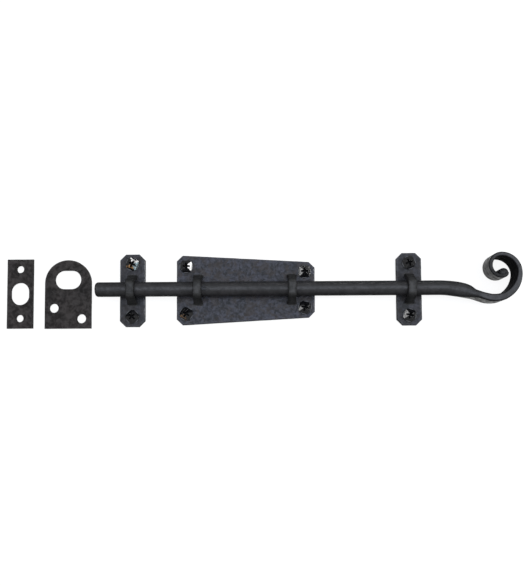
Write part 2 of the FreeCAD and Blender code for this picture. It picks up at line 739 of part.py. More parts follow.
def wood_screw(label, across, up, turn):
    """Screw with a pyramid head on a round rim, seated on its plate."""
    seat = "Sheet.plate_thick"

    def cylinder(name, radius, bottom, height):
        item = doc.addObject("Part::Cylinder", label + name)
        bind(item, Radius=radius, Height=height, Placement__Base__z=bottom)
        return item

    rim = cylinder("_rim", "Sheet.screw_head_radius", seat, "Sheet.screw_rim_height")
    neck = cylinder("_neck", "Sheet.screw_neck_radius", "0", seat)
    straight = "Sheet.screw_length - Sheet.plate_thick - Sheet.screw_point_length"
    shank = cylinder("_shank", "Sheet.screw_shank_radius", "-1 * (%s)" % straight, straight)
    point = doc.addObject("Part::Cone", label + "_point")
    bind(point, Radius1="0", Radius2="Sheet.screw_shank_radius",
         Height="Sheet.screw_point_length",
         Placement__Base__z="Sheet.plate_thick - Sheet.screw_length")

    # four facets over the rim, trimmed to the rim's circle
    pyramid = doc.addObject("Part::Wedge", label + "_pyramid")
    rise = "(Sheet.screw_head_height - Sheet.screw_rim_height)"
    half = "Sheet.screw_facet_half_side"
    bind(pyramid, Xmin="-1 * " + half, Xmax=half, Zmin="-1 * " + half, Zmax=half,
         Ymin="0", Ymax=rise)
    for name, sign in (("X2min", "-1 * "), ("X2max", ""), ("Z2min", "-1 * "), ("Z2max", "")):
        pyramid.setExpression(name, sign + "Sheet.screw_recess_flat")
    pyramid.Placement = Placement(Vector(0, 0, 0), Rotation(Vector(1, 0, 0), 90))
    bind(pyramid, Placement__Base__z=seat + " + Sheet.screw_rim_height")
    envelope = cylinder("_envelope", "Sheet.screw_head_radius",
                        seat + " + Sheet.screw_rim_height", rise)
    facets = doc.addObject("Part::MultiCommon", label + "_facets")
    facets.Shapes = [pyramid, envelope]
    blank = doc.addObject("Part::MultiFuse", label + "_blank")
    blank.Shapes = [rim, facets, neck, shank, point]

    # cross recess: two arms that narrow towards their floor
    depth = "(Sheet.recess_mouth_height - Sheet.recess_floor_height)"
    arms = []
    for name, long_side, short_side in (("_arm_one", "X", "Z"), ("_arm_two", "Z", "X")):
        arm = doc.addObject("Part::Wedge", label + name)
        bind(arm, Ymin="0", Ymax=depth)
        for side, size in ((long_side, "length"), (short_side, "width")):
            for extreme, sign in (("min", "-1 * "), ("max", "")):
                arm.setExpression(side + extreme, "%sSheet.recess_floor_%s" % (sign, size))
                arm.setExpression(side + "2" + extreme, "%sSheet.recess_mouth_%s" % (sign, size))
        arm.Placement = Placement(Vector(0, 0, 0), Rotation(Vector(1, 0, 0), 90))
        bind(arm, Placement__Base__z="Sheet.recess_floor_height")
        arms.append(arm)
    recess = doc.addObject("Part::MultiFuse", label + "_recess")
    recess.Shapes = arms
    screw = doc.addObject("Part::Cut", label)
    screw.Label = label
    screw.Base = blank
    screw.Tool = recess
    screw.Placement = Placement(Vector(0, 0, 0), Rotation(Z_AXIS, turn))
    bind(screw, Placement__Base__x=across, Placement__Base__y=up)
    return screw


# the turn of each screw about its own axis, in degrees
SCREW_TURNS = {
    "front_guide_screw_upper": -27,
    "front_guide_screw_lower": 45,
    "main_plate_screw_front_upper": 0,
    "main_plate_screw_front_lower": -33,
    "main_plate_screw_rear_upper": 0,
    "main_plate_screw_rear_lower": -15,
    "rear_guide_screw_upper": 22,
    "rear_guide_screw_lower": -15,
}


def screw_place(label):
    """Expressions for a screw's x and y, from its name."""
    sign = "" if label.endswith("upper") else "-1 * "
    if label.startswith("main_plate"):
        end = "front" if "front" in label else "rear"
        return "Sheet.main_%s_screw_x" % end, "%sSheet.main_%s_screw_y" % (sign, end)
    end = "front" if label.startswith("front") else "rear"
    return "Sheet.%s_guide_x" % end, sign + "Sheet.guide_screw_y"


# ---------------------------------------------------------------- assembly

nodes = [
    mortise_strike(),
    universal_strike(),
    guide_plate("front_guide_plate", "Sheet.front_guide_x"),
    strap("front_guide_strap", "Sheet.front_guide_x"),
    main_plate(),
    strap("main_strap_front", "Sheet.main_front_strap_x"),
    strap("main_strap_rear", "Sheet.main_rear_strap_x"),
    guide_plate("rear_guide_plate", "Sheet.rear_guide_x"),
    strap("rear_guide_strap", "Sheet.rear_guide_x"),
    sliding_bolt(),
    stop_pin(),
    friction_spring(),
    spring_rivet(),
]
for screw_label, screw_turn in SCREW_TURNS.items():
    place_x, place_y = screw_place(screw_label)
    nodes.append(wood_screw(screw_label, place_x, place_y, screw_turn))
doc.recompute()

for item in doc.Objects:
    if {"Invalid", "Error"} & set(item.State):
        raise RuntimeError("%s failed: %s" % (item.Name, item.State))
for node in nodes:
    if node.Shape.isNull() or not node.Shape.isValid() or len(node.Shape.Solids) != 1:
        raise RuntimeError("%s has no single valid solid" % node.Label)

os.makedirs("parts", exist_ok=True)
for node in nodes:
    node.Shape.exportStep("parts/%s.step" % node.Label)
    box = node.Shape.BoundBox
    print("%-30s %9.1f mm3  x %.2f %.2f  y %.2f %.2f  z %.2f %.2f" % (
        node.Label, node.Shape.Volume, box.XMin, box.XMax, box.YMin, box.YMax, box.ZMin, box.ZMax))
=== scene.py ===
import math

import bmesh
import bpy
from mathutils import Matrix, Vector, noise
from mathutils.geometry import delaunay_2d_cdt


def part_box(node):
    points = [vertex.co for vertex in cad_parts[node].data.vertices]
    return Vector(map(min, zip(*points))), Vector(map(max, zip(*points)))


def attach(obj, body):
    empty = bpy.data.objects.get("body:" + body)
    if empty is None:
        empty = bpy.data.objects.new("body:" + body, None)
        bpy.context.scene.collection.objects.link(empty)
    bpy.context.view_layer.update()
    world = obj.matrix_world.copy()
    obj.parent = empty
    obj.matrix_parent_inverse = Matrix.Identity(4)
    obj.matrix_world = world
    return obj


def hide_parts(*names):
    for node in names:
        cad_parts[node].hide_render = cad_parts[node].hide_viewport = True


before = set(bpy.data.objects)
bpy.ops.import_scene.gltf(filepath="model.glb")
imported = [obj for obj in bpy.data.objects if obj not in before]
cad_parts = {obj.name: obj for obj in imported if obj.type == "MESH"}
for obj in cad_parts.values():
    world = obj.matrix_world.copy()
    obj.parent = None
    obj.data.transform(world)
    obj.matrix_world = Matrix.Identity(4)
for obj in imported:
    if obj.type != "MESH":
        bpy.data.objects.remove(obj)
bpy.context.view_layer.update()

# Looks of the slide bolt. Pieces are drawn in millimetres in the part's own frame: the door is
# z = 0, the rod runs along X over y = 0 and the scroll handle lies at +X. make_piece() turns
# them into metres.

MM = 0.001
scene = bpy.context.scene


# ---------------------------------------------------------------- places from the frame

def box_mm(node):
    """Lowest and highest corner of a CAD node, in millimetres."""
    low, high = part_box(node)
    return low / MM, high / MM


def centre_mm(node):
    low, high = box_mm(node)
    return (low + high) / 2


# ---------------------------------------------------------------- outlines

def arc_points(centre_x, centre_y, radius, start, end, steps):
    """Points on an arc between two angles in degrees, both ends included."""
    points = []
    for step in range(steps + 1):
        angle = math.radians(start + (end - start) * step / steps)
        points.append((centre_x + radius * math.cos(angle), centre_y + radius * math.sin(angle)))
    return points


def circle(centre_x, centre_y, radius, steps=32):
    return arc_points(centre_x, centre_y, radius, 0, 360, steps)[:-1]


def oblong(centre_x, centre_y, radius, run_x, run_y, steps=20):
    """Slot with round ends; one of the two half runs is zero."""
    turn = 90 if run_x else 0
    first = arc_points(centre_x - run_x, centre_y + run_y, radius, turn, turn + 180, steps)
    second = arc_points(centre_x + run_x, centre_y - run_y, radius, turn + 180, turn + 360, steps)
    return first + second


def rectangle(low_x, low_y, high_x, high_y):
    return [(low_x, low_y), (high_x, low_y), (high_x, high_y), (low_x, high_y)]


def resampled(corners, spacing):
    """The same closed outline with points at about even spacing along its sides."""
    points = []
    for (x0, y0), (x1, y1) in zip(corners, corners[1:] + corners[:1]):
        pieces = max(1, round(math.hypot(x1 - x0, y1 - y0) / spacing))
        for piece in range(pieces):
            share = piece / pieces
            points.append((x0 + (x1 - x0) * share, y0 + (y1 - y0) * share))
    return points


def inset(outline, distance):
    """Counter-clockwise outline moved inwards by a distance."""
    moved = []
    count = len(outline)
    for index, (x, y) in enumerate(outline):
        before = Vector(outline[index - 1])
        after = Vector(outline[(index + 1) % count])
        here = Vector((x, y))
        first = (here - before).normalized()
        second = (after - here).normalized()
        normal = Vector((-first.y, first.x)) + Vector((-second.y, second.x))
        normal.normalize()
        reach = distance / max(0.3, normal.dot(Vector((-first.y, first.x))))
        moved.append((x + normal.x * reach, y + normal.y * reach))
    return moved


def wavered(outline, amount, scale, seed):
    """Outline with the slight waver of a hand-cut edge, always inwards."""
    shifted = []
    for (x, y), (inner_x, inner_y) in zip(outline, inset(outline, 1.0)):
        wave = amount * (0.5 + 0.5 * noise.noise(Vector((x / scale, y / scale, seed))))
        shifted.append((x + (inner_x - x) * wave, y + (inner_y - y) * wave))
    return shifted


def is_inside(x, y, loop):
    inside = False
    for (x0, y0), (x1, y1) in zip(loop, loop[1:] + loop[:1]):
        if (y0 > y) != (y1 > y) and x < (x1 - x0) * (y - y0) / (y1 - y0) + x0:
            inside = not inside
    return inside


def distance_to_loops(x, y, loops):
    best = 1e9
    for loop in loops:
        for (x0, y0), (x1, y1) in zip(loop, loop[1:] + loop[:1]):
            run_x, run_y = x1 - x0, y1 - y0
            share = ((x - x0) * run_x + (y - y0) * run_y) / (run_x ** 2 + run_y ** 2)
            share = min(1, max(0, share))
            best = min(best, (x - x0 - run_x * share) ** 2 + (y - y0 - run_y * share) ** 2)
    return math.sqrt(best)


def rounded_section(width, height, radius, corner_steps=4, side_steps=3):
    """Closed rectangle with round corners about the origin, and how near each point is to a
    corner: 1 in the middle of a corner, 0 on a side."""
    half_w, half_h = width / 2 - radius, height / 2 - radius
    centres = [(half_w, half_h, 0), (-half_w, half_h, 90),
               (-half_w, -half_h, 180), (half_w, -half_h, 270)]
    corners = [arc_points(x, y, radius, turn, turn + 90, corner_steps) for x, y, turn in centres]
    points, edge = [], []
    for corner, following in zip(corners, corners[1:] + corners[:1]):
        points.extend(corner)
        edge.extend(math.sin(math.pi * step / corner_steps) for step in range(corner_steps + 1))
        (x0, y0), (x1, y1) = corner[-1], following[0]
        for step in range(1, side_steps):
            share = step / side_steps
            points.append((x0 + (x1 - x0) * share, y0 + (y1 - y0) * share))
            edge.append(0)
    return points, edge


# ---------------------------------------------------------------- shells

# the hammered relief dies out over this distance from an edge
EDGE_FADE = 1.6


class Shell:
    """Points and faces of a piece. Matching points are welded when the piece is made."""

    def __init__(self):
        self.points = []
        self.wear_and_highlight = []
        self.painted_shade = []
        self.faces = []

    def ring(self, points, wear_and_highlight=0, painted_shade=0):
        """Adds points and gives their numbers. The two masks are one value each or a list with
        one for each point: how far a place is painted lighter as edge wear and highlight, and how far
        it is painted black as shade."""
        first = len(self.points)
        self.points.extend(Vector(point) for point in points)
        for values, given in ((self.wear_and_highlight, wear_and_highlight), (self.painted_shade, painted_shade)):
            values.extend(given if hasattr(given, "__len__") else [given] * len(points))
        return list(range(first, len(self.points)))

    def level(self, outline, height, wear_and_highlight=0, painted_shade=0):
        return self.ring([(x, y, height) for x, y in outline], wear_and_highlight, painted_shade)

    def wall(self, lower, upper):
        """Strip of faces between two closed rings of the same count."""
        count = len(lower)
        for index in range(count):
            after = (index + 1) % count
            self.faces.append((lower[index], lower[after], upper[after], upper[index]))

    def cap(self, ring):
        self.faces.append(tuple(ring))

    def flat(self, outline, holes, height, spacing=None, lift=None):
        """Flat face with holes. With a spacing it gets inner points, raised by lift(x, y)."""
        loops = [outline] + holes
        points, edges = [], []
        for loop in loops:
            first = len(points)
            points.extend(Vector(point) for point in loop)
            last = first + len(loop) - 1
            edges.extend((number, number + 1) for number in range(first, last))
            edges.append((last, first))
        if spacing:
            points.extend(Vector(point) for point in inner_grid(loops, spacing))
        found, _, triangles, _, _, _ = delaunay_2d_cdt(points, edges, [], 0, 1e-6)
        heights = []
        for point in found:
            raise_by = 0
            if lift:
                fade = min(1, distance_to_loops(point.x, point.y, loops) / EDGE_FADE)
                raise_by = fade * lift(point.x, point.y)
            heights.append((point.x, point.y, height + raise_by))
        numbers = self.ring(heights)
        for triangle in triangles:
            x = sum(found[corner].x for corner in triangle) / 3
            y = sum(found[corner].y for corner in triangle) / 3
            if is_inside(x, y, outline) and not any(is_inside(x, y, hole) for hole in holes):
                self.faces.append(tuple(numbers[corner] for corner in triangle))


def inner_grid(loops, spacing):
    """Points in a triangular grid inside the first loop and outside the others."""
    xs = [x for x, _ in loops[0]]
    ys = [y for _, y in loops[0]]
    row_step = spacing * math.sqrt(3) / 2
    rows = int((max(ys) - min(ys)) / row_step)
    columns = int((max(xs) - min(xs)) / spacing) + 1
    points = []
    for row in range(1, rows + 1):
        y = min(ys) + row * row_step
        for column in range(columns + 1):
            x = min(xs) + (column + 0.5 * (row % 2)) * spacing
            in_plate = is_inside(x, y, loops[0])
            if in_plate and not any(is_inside(x, y, hole) for hole in loops[1:]):
                if distance_to_loops(x, y, loops) > 0.5 * spacing:
                    points.append((x, y))
    return points


def make_piece(label, shell, body, slot_name, material, *nodes, sharp=32):
    """Welds a shell into a mesh in metres that stands for the CAD nodes."""
    mesh = bpy.data.meshes.new(label)
    mesh.from_pydata([point * MM for point in shell.points], [], shell.faces)
    # the masks: edge wear painted lighter with a painted highlight, and painted shade
    for name, values in (("wear_and_highlight", shell.wear_and_highlight), ("painted_shade", shell.painted_shade)):
        mesh.attributes.new(name, "FLOAT", "POINT").data.foreach_set("value", values)
    build = bmesh.new()
    build.from_mesh(mesh)
    bmesh.ops.remove_doubles(build, verts=build.verts, dist=0.002 * MM)
    bmesh.ops.recalc_face_normals(build, faces=build.faces)
    build.to_mesh(mesh)
    build.free()
    return finish_piece(label, mesh, body, material, nodes, sharp)


def finish_piece(name, mesh, body, material, nodes, sharp):
    mesh.shade_smooth()
    mesh.set_sharp_from_angle(angle=math.radians(sharp))
    mesh.materials.clear()
    mesh.materials.append(material)
    piece = bpy.data.objects.new(name, mesh)
    scene.collection.objects.link(piece)
    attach(piece, body)
    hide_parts(*nodes)
    return piece


# ---------------------------------------------------------------- materials

class Nodes:
    """Short names for the nodes and links of one material."""

    def __init__(self, name):
        self.material = bpy.data.materials.new(name)
        self.material.use_nodes = True
        self.tree = self.material.node_tree
        self.shader = self.tree.nodes["Principled BSDF"]
        self.place = self.add("ShaderNodeTexCoord").outputs["Object"]

    def add(self, kind, **settings):
        node = self.tree.nodes.new(kind)
        for key, setting in settings.items():
            setattr(node, key, setting)
        return node

    def link(self, source, target):
        self.tree.links.new(source, target)

    def noise(self, size, detail=3, roughness=0.55, distortion=0):
        """Noise whose features are about size millimetres across."""
        node = self.add("ShaderNodeTexNoise")
        self.link(self.place, node.inputs["Vector"])
        node.inputs["Scale"].default_value = 1 / (size * MM)
        node.inputs["Detail"].default_value = detail
        node.inputs["Roughness"].default_value = roughness
        node.inputs["Distortion"].default_value = distortion
        return node.outputs["Fac"]

    def spread(self, source, low, high, to_low, to_high):
        """Maps a value from one range to another, clamped."""
        node = self.add("ShaderNodeMapRange")
        self.link(source, node.inputs["Value"])
        for socket, number in (("From Min", low), ("From Max", high),
                               ("To Min", to_low), ("To Max", to_high)):
            node.inputs[socket].default_value = number
        return node.outputs["Result"]

    def math(self, operation, first, second):
        node = self.add("ShaderNodeMath", operation=operation)
        for socket, source in zip(node.inputs, (first, second)):
            if isinstance(source, (int, float)):
                socket.default_value = source
            else:
                self.link(source, socket)
        return node.outputs["Value"]

    def mix(self, factor, first, second):
        node = self.add("ShaderNodeMix", data_type="RGBA")
        self.link(factor, node.inputs["Factor"])
        for socket, source in ((node.inputs["A"], first), (node.inputs["B"], second)):
            if isinstance(source, tuple):
                socket.default_value = (*source, 1)
            else:
                self.link(source, socket)
        return node.outputs["Result"]

    def bump(self, heights):
        """Bump from pairs of a height source and its depth in millimetres."""
        normal = None
        for source, depth in heights:
            node = self.add("ShaderNodeBump")
            node.inputs["Strength"].default_value = 1
            node.inputs["Distance"].default_value = depth * MM
            self.link(source, node.inputs["Height"])
            if normal:
                self.link(normal, node.inputs["Normal"])
            normal = node.outputs["Normal"]
        self.link(normal, self.shader.inputs["Normal"])

    def attribute(self, name):
        return self.add("ShaderNodeAttribute", attribute_name=name).outputs["Fac"]


# painted shade: this black is painted wherever a piece's shade mask is 1, standing in for the shade
# in hollows, inside the curl and on edges turned from the light
PAINTED_SHADE_BLACK = (0.0035, 0.0035, 0.0038)
PAINTED_SHADE_SPECULAR = 0.03


def black_iron(name, dark, light, worn_and_highlit, roughness, specular, bump_depth, patch, stain=None):
    """Blackened iron: cloudy patches, a fine tooth, lighter bare metal along rubbed edges that also
    stands as a painted highlight, painted shade where the shade mask is set, and perhaps a stain of
    another hue."""
    n = Nodes(name)
    clouds = n.noise(patch, detail=4, roughness=0.6, distortion=0.5)
    patches = n.noise(patch * 3.1, detail=2)
    tooth = n.noise(0.55, detail=4, roughness=0.65)
    pits = n.noise(1.7, detail=2)
    cover = n.math("ADD", n.math("MULTIPLY", clouds, 0.7), n.math("MULTIPLY", patches, 0.3))
    tint = n.mix(n.spread(cover, 0.42, 0.58, 0, 1), dark, light)
    if stain:
        tint = n.mix(n.spread(n.noise(patch * 2.3, detail=5, distortion=0.8), 0.46, 0.60, 0, 0.75),
                     tint, stain)
    # lighter, glossier bare metal where the edge mask is set: rubbed edge wear and a painted
    # highlight along the plates' bevel crests
    edge_breakup = n.spread(n.noise(1.3, detail=4), 0.40, 0.62, 0.25, 1)
    edge = n.math("MULTIPLY", n.attribute("wear_and_highlight"), edge_breakup)
    # painted shade: the shade mask paints the colour over with the black above
    shaded_tint = n.mix(n.attribute("painted_shade"), n.mix(edge, tint, worn_and_highlit), PAINTED_SHADE_BLACK)
    n.link(shaded_tint, n.shader.inputs["Base Color"])
    gloss = n.math("ADD", n.spread(clouds, 0.40, 0.60, 0.11, -0.11),
                   n.spread(tooth, 0.35, 0.65, -0.05, 0.05))
    gloss = n.math("ADD", gloss, roughness)
    gloss = n.math("SUBTRACT", gloss, n.math("MULTIPLY", edge, 0.10))
    # painted shade also raises the roughness and lowers the specular
    painted_shade = n.attribute("painted_shade")
    n.link(n.math("ADD", gloss, n.math("MULTIPLY", painted_shade, 0.4)), n.shader.inputs["Roughness"])
    n.link(n.spread(painted_shade, 0, 1, specular, PAINTED_SHADE_SPECULAR), n.shader.inputs["Specular IOR Level"])
    n.bump(((clouds, 2.2 * bump_depth), (pits, 0.6 * bump_depth), (tooth, 0.22 * bump_depth)))
    return n.material


plate_iron = black_iron("plate_iron", (0.0035, 0.0045, 0.0065), (0.018, 0.019, 0.0275),
                        (0.05, 0.052, 0.062), 0.43, 0.20, 0.10, patch=2.1,
                        stain=(0.0125, 0.0095, 0.0085))
guide_iron = black_iron("guide_iron", (0.004, 0.0047, 0.006), (0.013, 0.013, 0.017),
                        (0.04, 0.043, 0.050), 0.46, 0.185, 0.07, patch=2.0,
                        stain=(0.007, 0.0052, 0.0050))
strike_iron = black_iron("strike_iron", (0.005, 0.0041, 0.0037), (0.0175, 0.0148, 0.0137),
                         (0.018, 0.016, 0.015), 0.6, 0.12, 0.04, patch=3.0)
strap_iron = black_iron("strap_iron", (0.009, 0.0093, 0.0092), (0.020, 0.0198, 0.0196),
                        (0.05, 0.052, 0.058), 0.42, 0.17, 0.05, patch=2.6)
bolt_iron = black_iron("bolt_iron", (0.008, 0.0080, 0.0086), (0.016, 0.0158, 0.0168),
                       (0.035, 0.038, 0.043), 0.39, 0.23, 0.035, patch=3.0)
screw_black = black_iron("screw_black", (0.0015, 0.0015, 0.002), (0.004, 0.004, 0.0045),
                         (0.04, 0.045, 0.05), 0.14, 0.42, 0.012, patch=1.2)


def sprung_steel(name, colour, shade, roughness):
    """Steel with fine drawn lines along X."""
    n = Nodes(name)
    stretch = n.add("ShaderNodeMapping")
    stretch.inputs["Scale"].default_value = (0.08, 1, 1)
    n.link(n.place, stretch.inputs["Vector"])
    n.place = stretch.outputs["Vector"]
    lines = n.noise(0.12, detail=3)
    stain = n.noise(1.5, detail=4)
    n.link(n.mix(n.spread(stain, 0.35, 0.7, 0, 1), colour, shade), n.shader.inputs["Base Color"])
    n.link(n.spread(lines, 0.3, 0.7, roughness - 0.08, roughness + 0.1),
           n.shader.inputs["Roughness"])
    n.shader.inputs["Metallic"].default_value = 1
    n.bump(((lines, 0.01),))
    return n.material


spring_steel = sprung_steel("spring_steel", (0.30, 0.30, 0.31), (0.16, 0.15, 0.14), 0.32)
pin_steel = sprung_steel("pin_steel", (0.022, 0.023, 0.025), (0.012, 0.012, 0.012), 0.38)
rivet_iron = black_iron("rivet_iron", (0.012, 0.012, 0.013), (0.03, 0.03, 0.03),
                        (0.1, 0.1, 0.1), 0.4, 0.5, 0.03, patch=4.0)

for node, material in (("stop_pin", pin_steel), ("friction_spring", spring_steel),
                       ("spring_rivet", rivet_iron)):
    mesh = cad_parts[node].data
    mesh.materials.clear()
    mesh.materials.append(material)


# ---------------------------------------------------------------- stage, light and camera

WHITE = (1, 1, 1)
SKY = (0.88, 0.96, 1.12)


# how far the floor lies under the door's plane, clear of the plates' backs
FLOOR_DROP = 0.2


def add_floor():
    """Pale paper that glows by itself, so shadows on it are faint."""
    n = Nodes("floor_paper")
    grain = n.noise(40, detail=3)
    n.link(n.mix(grain, (0.10, 0.10, 0.10), (0.12, 0.12, 0.12)), n.shader.inputs["Base Color"])
    n.link(n.spread(grain, 0, 1, 0.85, 0.95), n.shader.inputs["Roughness"])
    n.shader.inputs["Specular IOR Level"].default_value = 0
    n.shader.inputs["Emission Color"].default_value = (1, 1, 1, 1)
    n.shader.inputs["Emission Strength"].default_value = 0.88
    bpy.ops.mesh.primitive_plane_add(size=30, location=(0, 0, -FLOOR_DROP * MM))
    floor = bpy.context.object
    floor.name = "floor"
    floor.data.materials.append(n.material)
    floor.visible_glossy = False
    floor.visible_diffuse = False
    floor.visible_shadow = False


def add_softbox(name, azimuth, elevation, distance, width, height, radiance, colour=WHITE):
    """Area light that looks at the origin from a direction given in degrees."""
    data = bpy.data.lights.new(name, "AREA")
    data.color = colour
    data.shape = "RECTANGLE"
    data.size = width
    data.size_y = height
    data.energy = radiance * math.pi * width * height
    light = bpy.data.objects.new(name, data)
    level = math.cos(math.radians(elevation))
    light.location = Vector((level * math.cos(math.radians(azimuth)),
                             level * math.sin(math.radians(azimuth)),
                             math.sin(math.radians(elevation)))) * distance
    light.rotation_euler = light.location.to_track_quat("Z", "Y").to_euler()
    scene.collection.objects.link(light)


def add_world(levels):
    """Studio whose brightness follows the height of the direction, given as pairs of the
    height, from -1 straight down to 1 straight up, and the brightness."""
    world = bpy.data.worlds.new("studio")
    world.use_nodes = True
    tree = world.node_tree
    place = tree.nodes.new("ShaderNodeTexCoord")
    split = tree.nodes.new("ShaderNodeSeparateXYZ")
    tree.links.new(place.outputs["Generated"], split.inputs["Vector"])
    rise = tree.nodes.new("ShaderNodeMapRange")
    tree.links.new(split.outputs["Z"], rise.inputs["Value"])
    rise.inputs["From Min"].default_value = -1
    ramp = tree.nodes.new("ShaderNodeValToRGB")
    tree.links.new(rise.outputs["Result"], ramp.inputs["Fac"])
    stops = ramp.color_ramp.elements
    while len(stops) < len(levels):
        stops.new(1)
    for stop, (height, brightness) in zip(stops, levels):
        stop.position = (height + 1) / 2
        stop.color = (brightness, brightness, brightness, 1)
    background = tree.nodes["Background"]
    tree.links.new(ramp.outputs["Color"], background.inputs["Color"])
    scene.world = world


def add_camera():
    data = bpy.data.cameras.new("camera")
    data.sensor_width = 36
    data.lens = 45
    data.shift_y = 0.0887
    data.clip_start = 0.01
    camera = bpy.data.objects.new("camera", data)
    camera.location = (0.01165, -0.07294, 0.52825)
    camera.rotation_euler = [math.radians(angle) for angle in (3.597, 0, -0.341)]
    scene.collection.objects.link(camera)
    scene.camera = camera


add_floor()
add_world(((-1, 0.9), (-0.91, 0.8), (-0.75, 0.06), (-0.02, 0.12), (0.02, 0.35), (0.8, 0.8)))
add_softbox("overhead", 90, 86, 1.3, 2.2, 1.0, 2.7, SKY)
add_softbox("right_side", 9, 29, 1.5, 0.53, 0.32, 34)
add_softbox("left_side", 161, 29, 1.5, 0.56, 0.34, 9)
add_softbox("far_side", 80.2, 17, 1.5, 0.12, 0.10, 30)
add_softbox("cool_glint", -22.5, 37, 1.5, 0.12, 0.12, 14, (0.7, 0.95, 1.05))
add_softbox("warm_glint", -134.8, 24.7, 1.54, 0.09, 0.09, 12, (1, 0.55, 0.2))
add_camera()
scene.view_settings.view_transform = "Standard"


# ---------------------------------------------------------------- plates

PLATE_BEVEL = 0.75
PLATE_BEVEL_DROP = 0.5
STRIKE_BEVEL = 0.3
STRIKE_BEVEL_DROP = 0.25


def hammered(x, y):
    """Height of the hammered face over its mean level."""
    broad = noise.noise(Vector((x / 6.5, y / 6.5, 3.1)))
    small = noise.noise(Vector((x / 2.4, y / 2.4, 8.7)))
    return 0.055 * broad + 0.025 * small


def plate_shell(outline, thickness, bevel, drop, holes, pocket=None, spacing=1.2):
    """Plate on z = 0 with a bevelled rim. holes go right through. pocket is an outline, the
    height of its floor and the hole through that floor."""
    shell = Shell()
    crest = 0.12
    # inset, height and edge mask of each ring of the rim; the mask paints the bevel's crest lighter,
    # as rubbed edge wear and a painted highlight
    profile = ((0.15, 0.0, 0), (0.0, 0.15, 0), (0.0, thickness - drop - 0.12, 0),
               (0.08, thickness - drop, 0.2), (bevel - crest, thickness - crest * 0.6, 0.8),
               (bevel, thickness - 0.02, 1), (bevel + 0.3, thickness, 0.15))
    rings = [shell.level(inset(outline, shift), height, wear_and_highlight) for shift, height, wear_and_highlight in profile]
    for lower, upper in zip(rings, rings[1:]):
        shell.wall(lower, upper)
    top_holes = list(holes)
    bottom_holes = list(holes)
    if pocket:
        loop, floor_height, through = pocket
        top_holes.append(loop)
        bottom_holes.append(through)
        shell.flat(loop, [through], floor_height)
        shell.wall(shell.level(loop, floor_height), shell.level(loop, thickness))
        shell.wall(shell.level(through, 0), shell.level(through, floor_height))
    for hole in holes:
        shell.wall(shell.level(hole, 0), shell.level(hole, thickness))
    shell.flat(inset(outline, bevel + 0.3), top_holes, thickness, spacing, hammered)
    shell.flat(inset(outline, 0.15), bottom_holes, 0)
    return shell


def cut_cornered(low, high, low_y_at_rear, high_y_at_rear, cut):
    """Four-sided plate with its corners cut off, counter-clockwise."""
    return [(low.x + cut, low.y), (high.x - cut, low_y_at_rear),
            (high.x, low_y_at_rear + cut), (high.x, high_y_at_rear - cut),
            (high.x - cut, high_y_at_rear), (low.x + cut, high.y),
            (low.x, high.y - cut), (low.x, low.y + cut)]


CORNER_CUT = 4.3
MAIN_REAR_HALF_HEIGHT = 20.3
# the friction spring's blind pocket in the main plate: low x, low y, high x, high y
SPRING_POCKET = (-29.0, -4.0, 23.5, 4.0)
POCKET_FLOOR = 1.0
RIVET_HOLE_RADIUS = 1.25
TENON_INNER, TENON_OUTER, TENON_HALF_WIDTH = 9.0, 11.3, 2.1
SCREW_HOLE_RADIUS = 2.5


def tenon_slots(strap_x):
    slots = []
    for low_y, high_y in ((TENON_INNER, TENON_OUTER), (-TENON_OUTER, -TENON_INNER)):
        slots.append(rectangle(strap_x - TENON_HALF_WIDTH, low_y, strap_x + TENON_HALF_WIDTH, high_y))
    return slots


def screw_holes(*nodes):
    """A hole under each of the screws."""
    centres = [centre_mm(node) for node in nodes]
    return [circle(centre.x, centre.y, SCREW_HOLE_RADIUS, 24) for centre in centres]


def add_guide(node, strap_node, screws):
    low, high = box_mm(node)
    corners = cut_cornered(low, high, low.y, high.y, CORNER_CUT)
    outline = wavered(resampled(corners, 1.2), 0.16, 5.0, low.x)
    holes = screw_holes(*screws) + tenon_slots(centre_mm(strap_node).x)
    shell = plate_shell(outline, high.z, PLATE_BEVEL, PLATE_BEVEL_DROP, holes)
    make_piece(node + "_visual", shell, "plates", "plate_iron", guide_iron, node)


def add_main_plate():
    low, high = box_mm("main_plate")
    corners = cut_cornered(low, high, -MAIN_REAR_HALF_HEIGHT, MAIN_REAR_HALF_HEIGHT, CORNER_CUT)
    outline = wavered(resampled(corners, 1.4), 0.18, 6.0, 2.0)
    screws = ["main_plate_screw_%s_%s" % (end, side)
              for end in ("front", "rear") for side in ("upper", "lower")]
    holes = screw_holes(*screws)
    for strap_node in ("main_strap_front", "main_strap_rear"):
        holes += tenon_slots(centre_mm(strap_node).x)
    rivet = centre_mm("spring_rivet")
    through = circle(rivet.x, rivet.y, RIVET_HOLE_RADIUS, 16)
    pocket = (resampled(rectangle(*SPRING_POCKET), 3.0), POCKET_FLOOR, through)
    shell = plate_shell(outline, high.z, PLATE_BEVEL, PLATE_BEVEL_DROP, holes, pocket)
    make_piece("main_plate_visual", shell, "plates", "plate_iron", plate_iron, "main_plate")


MORTISE_SLOT_RADIUS = 6.5
MORTISE_SLOT_HALF_RUN = 1.6
MORTISE_SCREW_Y = 17.85
MORTISE_SCREW_RADIUS = 2.65


def add_mortise_strike():
    low, high = box_mm("mortise_strike")
    centre = (low + high) / 2
    outline = wavered(resampled(rectangle(low.x, low.y, high.x, high.y), 1.2), 0.12, 6.0, 4.0)
    holes = [oblong(centre.x, centre.y, MORTISE_SLOT_RADIUS, 0, MORTISE_SLOT_HALF_RUN)]
    holes += [circle(centre.x, centre.y + side * MORTISE_SCREW_Y, MORTISE_SCREW_RADIUS)
              for side in (-1, 1)]
    shell = plate_shell(outline, high.z, STRIKE_BEVEL, STRIKE_BEVEL_DROP, holes)
    make_piece("mortise_strike_visual", shell, "plates", "plate_iron", strike_iron,
               "mortise_strike")


